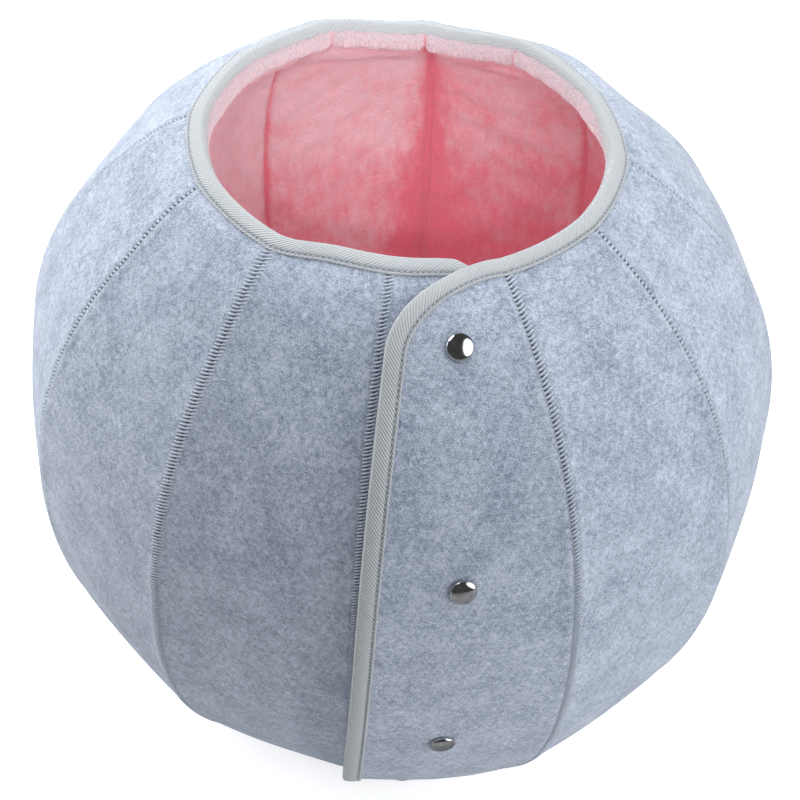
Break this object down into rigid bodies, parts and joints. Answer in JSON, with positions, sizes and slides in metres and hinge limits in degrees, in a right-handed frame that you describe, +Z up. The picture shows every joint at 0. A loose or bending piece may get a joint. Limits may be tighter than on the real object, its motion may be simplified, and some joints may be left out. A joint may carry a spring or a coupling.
{
  "type": "cat tunnel bed",
  "caption": "Ball-shaped felt cat tunnel bed with a plush lining, open at the top and the bottom, closed down one side by a lapping flap with press snaps.",
  "frame": {"origin": "middle of the underside of the bed's box, on the floor that it stands on", "axes": "+Z up, -Y towards the snapped flap, +X to the right of someone who faces the flap"},
  "size_m": [0.385, 0.3894, 0.3587],
  "materials": {
    "grey_felt": "heathered light blue-grey needle felt, matt and slightly hairy",
    "pink_plush": "short pink plush pile, paler where the pile lies down",
    "binding_tape": "pale grey twill binding tape",
    "snap_metal": "dark polished nickel press snap"
  },
  "bodies": {
    "ring": {"felt_panel_01": "grey_felt", "felt_panel_02": "grey_felt", "felt_panel_03": "grey_felt", "felt_panel_04": "grey_felt", "felt_panel_05": "grey_felt", "felt_panel_06": "grey_felt", "felt_panel_07": "grey_felt", "felt_panel_08": "grey_felt", "felt_panel_09": "grey_felt", "felt_panel_10": "grey_felt", "felt_panel_11": "grey_felt", "plush_panel_01": "pink_plush", "plush_panel_02": "pink_plush", "plush_panel_03": "pink_plush", "plush_panel_04": "pink_plush", "plush_panel_05": "pink_plush", "plush_panel_06": "pink_plush", "plush_panel_07": "pink_plush", "plush_panel_08": "pink_plush", "plush_panel_09": "pink_plush", "plush_panel_10": "pink_plush", "plush_panel_11": "pink_plush", "underlap_felt": "grey_felt", "underlap_plush": "pink_plush", "rim_tape_top": "binding_tape", "rim_tape_bottom": "binding_tape", "underlap_tape": "binding_tape", "snap_stud_1": "snap_metal", "snap_stud_2": "snap_metal", "snap_stud_3": "snap_metal", "snap_stud_4": "snap_metal", "snap_eyelet_1": "snap_metal", "snap_eyelet_2": "snap_metal", "snap_eyelet_3": "snap_metal", "snap_eyelet_4": "snap_metal"},
    "flap": {"flap_felt": "grey_felt", "flap_plush": "pink_plush", "flap_tape": "binding_tape", "snap_cap_1": "snap_metal", "snap_cap_2": "snap_metal", "snap_cap_3": "snap_metal", "snap_cap_4": "snap_metal", "snap_socket_1": "snap_metal", "snap_socket_2": "snap_metal", "snap_socket_3": "snap_metal", "snap_socket_4": "snap_metal"}
  },
  "joints": [
    {"name": "flap_hinge", "type": "hinge", "parent": "ring", "child": "flap", "pos_m": [0.04998, -0.19101, 0.18047], "axis": [0, 0, 1], "range_deg": [0, 45], "stiffness_Nm_per_rad": 0.02}
  ]
}
